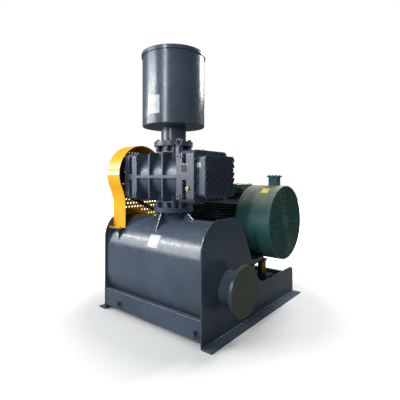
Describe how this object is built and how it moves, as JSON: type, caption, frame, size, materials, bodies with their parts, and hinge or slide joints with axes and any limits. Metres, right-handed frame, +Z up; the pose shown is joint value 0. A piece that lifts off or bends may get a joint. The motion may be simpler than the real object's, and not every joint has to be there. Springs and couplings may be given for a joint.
{
  "type": "vacuum pump",
  "caption": "Belt-driven three-lobe rotary vacuum pump set with intake silencer on a combined base and discharge silencer, with a swinging motor seat.",
  "frame": {"origin": "centre of the four anchor holes, on the floor", "axes": "+X along the shafts towards the gear end and the fan, +Y from the pump towards the motor, +Z up"},
  "size_m": [1.382, 1.616, 2.2945],
  "materials": {
    "slate_paint": "satin",
    "slate_casting": "satin",
    "teal_paint": "satin",
    "guard_yellow": "satin",
    "olive_sheet": "matt",
    "zinc": "zinc plated",
    "fastener_slate": "painted over",
    "fastener_teal": "painted over",
    "ground_steel": "ground",
    "pulley_iron": "machined",
    "belt_rubber": "matt",
    "brass": "machined",
    "fan_plastic": "matt",
    "filter_felt": "matt"
  },
  "bodies": {
    "base_and_pump": {"belt_side_cover": "slate_casting", "cover_screws": "fastener_slate", "cross_channels": "slate_paint", "discharge_pipe": "slate_paint", "discharge_shell": "slate_paint", "end_plate_belt_side": "slate_paint", "end_plate_gear_side": "slate_paint", "eye_bolts": "fastener_slate", "flange_cover": "olive_sheet", "gear_cover": "slate_casting", "gear_cover_bolts": "fastener_slate", "guard_band": "guard_yellow", "guard_brackets": "slate_paint", "guard_panel": "guard_yellow", "guard_screws": "zinc", "head_bolts": "fastener_slate", "hinge_bar": "zinc", "intake_filter": "filter_felt", "intake_lid": "slate_paint", "intake_lining": "filter_felt", "intake_pipe": "slate_paint", "intake_shell": "slate_paint", "lid_studs": "fastener_slate", "lifting_trunnions": "slate_paint", "oil_plugs": "brass", "port_bolts": "fastener_slate", "post_beam": "slate_paint", "pump_bearings": "ground_steel", "pump_casing": "slate_casting", "pump_head_belt_side": "slate_casting", "pump_head_gear_side": "slate_casting", "shaft_seals": "belt_rubber", "sight_glasses": "brass", "silencer_core": "slate_paint", "stub_gussets": "slate_paint", "stub_pipe": "slate_paint", "tension_posts": "zinc", "v_belts": "belt_rubber"},
    "drive_rotor_set": {"drive_rotor": "ground_steel", "drive_shaft": "ground_steel", "drive_gear": "ground_steel", "blower_pulley": "pulley_iron"},
    "driven_rotor_set": {"driven_rotor": "ground_steel", "driven_shaft": "ground_steel", "driven_gear": "ground_steel"},
    "motor_carrier": {"motor_seat": "slate_paint", "motor_frame": "teal_paint", "drive_end_shield": "teal_paint", "fan_end_shield": "teal_paint", "stator_core": "ground_steel", "fan_cowl": "teal_paint", "terminal_box": "teal_paint", "terminal_lid": "teal_paint", "aux_box": "teal_paint", "motor_bolts": "fastener_teal", "motor_bearings": "ground_steel"},
    "motor_rotor_set": {"motor_rotor": "ground_steel", "motor_fan": "fan_plastic", "motor_pulley": "pulley_iron"}
  },
  "joints": [
    {"name": "drive_rotor_spin", "type": "hinge", "parent": "base_and_pump", "child": "drive_rotor_set", "pos_m": [0, -0.5355, 1.218], "axis": [1, 0, 0], "continuous": true},
    {"name": "driven_rotor_spin", "type": "hinge", "parent": "base_and_pump", "child": "driven_rotor_set", "pos_m": [0, -0.3825, 1.218], "axis": [1, 0, 0], "continuous": true},
    {"name": "seat_swing", "type": "hinge", "parent": "base_and_pump", "child": "motor_carrier", "pos_m": [0, -0.075, 0.44], "axis": [1, 0, 0], "range_deg": [0, 4], "deforming": ["v_belts"]},
    {"name": "motor_spin", "type": "hinge", "parent": "motor_carrier", "child": "motor_rotor_set", "pos_m": [0, 0.39, 0.784], "axis": [1, 0, 0], "continuous": true}
  ],
  "couplings": [
    {"joint": "driven_rotor_spin", "follows": "drive_rotor_spin", "ratio": -1},
    {"joint": "motor_spin", "follows": "drive_rotor_spin", "ratio": 1.0704}
  ]
}
